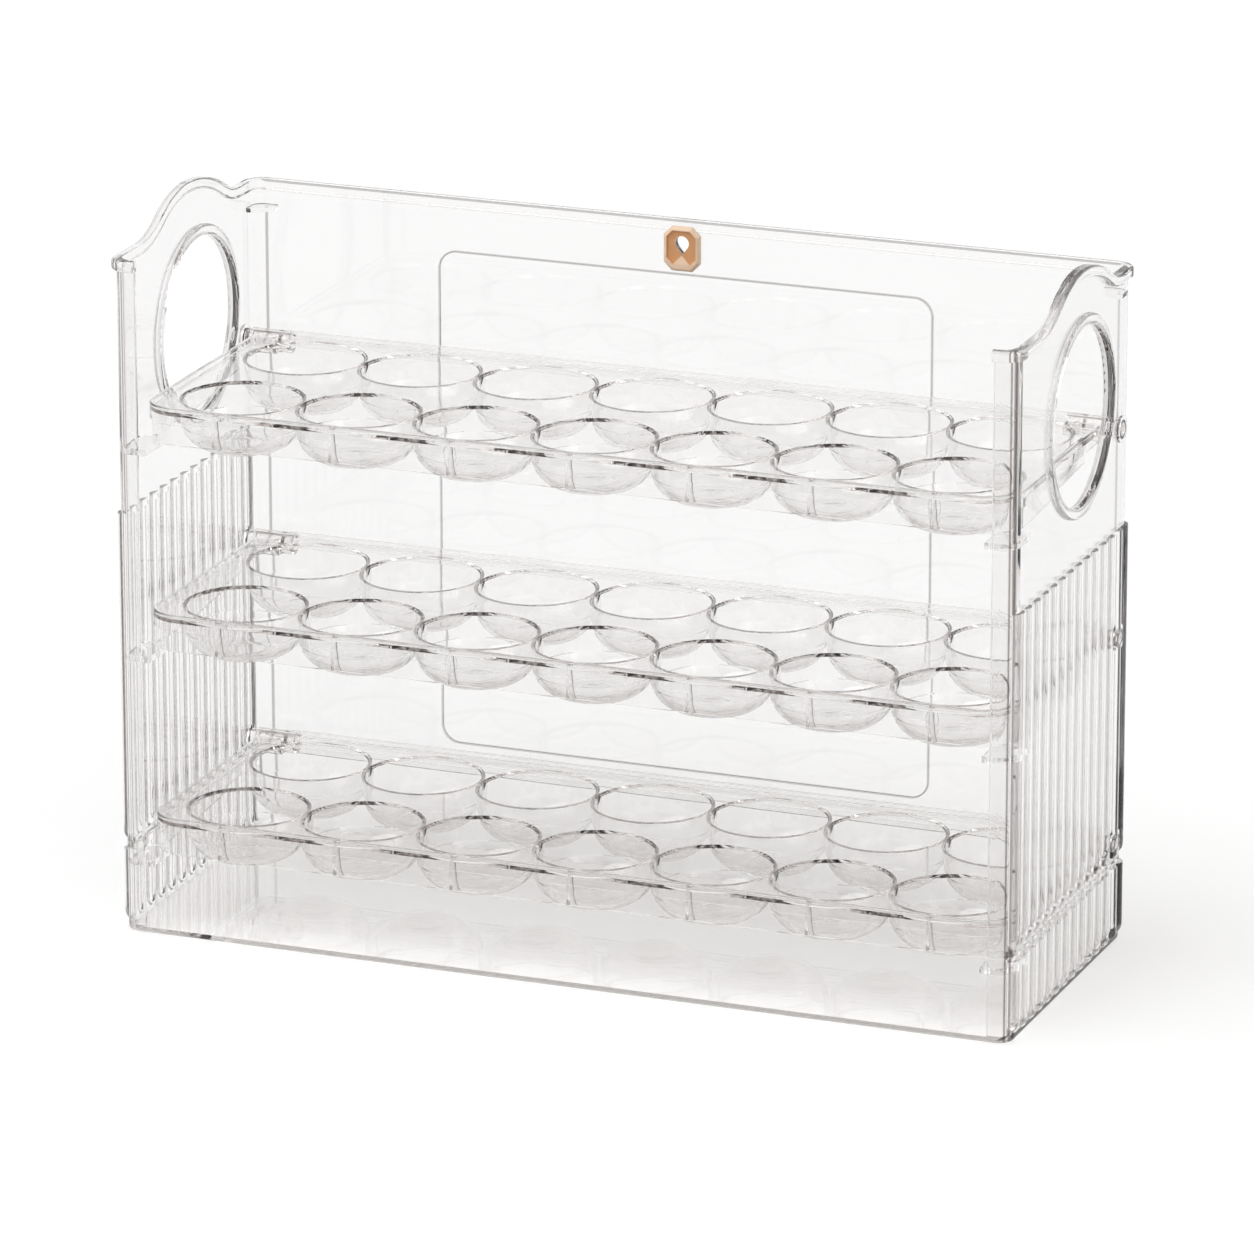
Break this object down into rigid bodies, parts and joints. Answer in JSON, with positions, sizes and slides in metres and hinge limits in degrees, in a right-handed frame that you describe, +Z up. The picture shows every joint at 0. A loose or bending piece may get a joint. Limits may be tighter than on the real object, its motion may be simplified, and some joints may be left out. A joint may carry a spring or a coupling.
{
  "type": "egg holder",
  "caption": "Clear free-standing egg holder: an open-front fluted body with round hand holes carries tiers of egg-cup trays that flip up on hinges at the back.",
  "frame": {"origin": "middle of the footprint, on the surface the holder stands on", "axes": "+X along the width, to the right seen from the front; +Y from the open front to the back wall; +Z up"},
  "size_m": [0.353, 0.133, 0.272],
  "materials": {
    "clear_plastic": "crystal clear, polished mould",
    "peach_plastic": "peach tinted, polished"
  },
  "bodies": {
    "body": {"base": "clear_plastic", "upper_shell": "clear_plastic", "hang_plate": "peach_plastic", "hinge_pin_bottom_left": "clear_plastic", "hinge_pin_bottom_right": "clear_plastic", "hinge_pin_middle_left": "clear_plastic", "hinge_pin_middle_right": "clear_plastic", "hinge_pin_top_left": "clear_plastic", "hinge_pin_top_right": "clear_plastic"},
    "bottom_tray": {"egg_tray_bottom": "clear_plastic"},
    "middle_tray": {"egg_tray_middle": "clear_plastic"},
    "top_tray": {"egg_tray_top": "clear_plastic"}
  },
  "joints": [
    {"name": "bottom_tray_flip", "type": "hinge", "parent": "body", "child": "bottom_tray", "pos_m": [0, 0.053, 0.0402], "axis": [-1, 0, 0], "range_deg": [0, 30]},
    {"name": "middle_tray_flip", "type": "hinge", "parent": "body", "child": "middle_tray", "pos_m": [0, 0.053, 0.1197], "axis": [-1, 0, 0], "range_deg": [0, 30]},
    {"name": "top_tray_flip", "type": "hinge", "parent": "body", "child": "top_tray", "pos_m": [0, 0.053, 0.1992], "axis": [-1, 0, 0], "range_deg": [0, 86]}
  ]
}
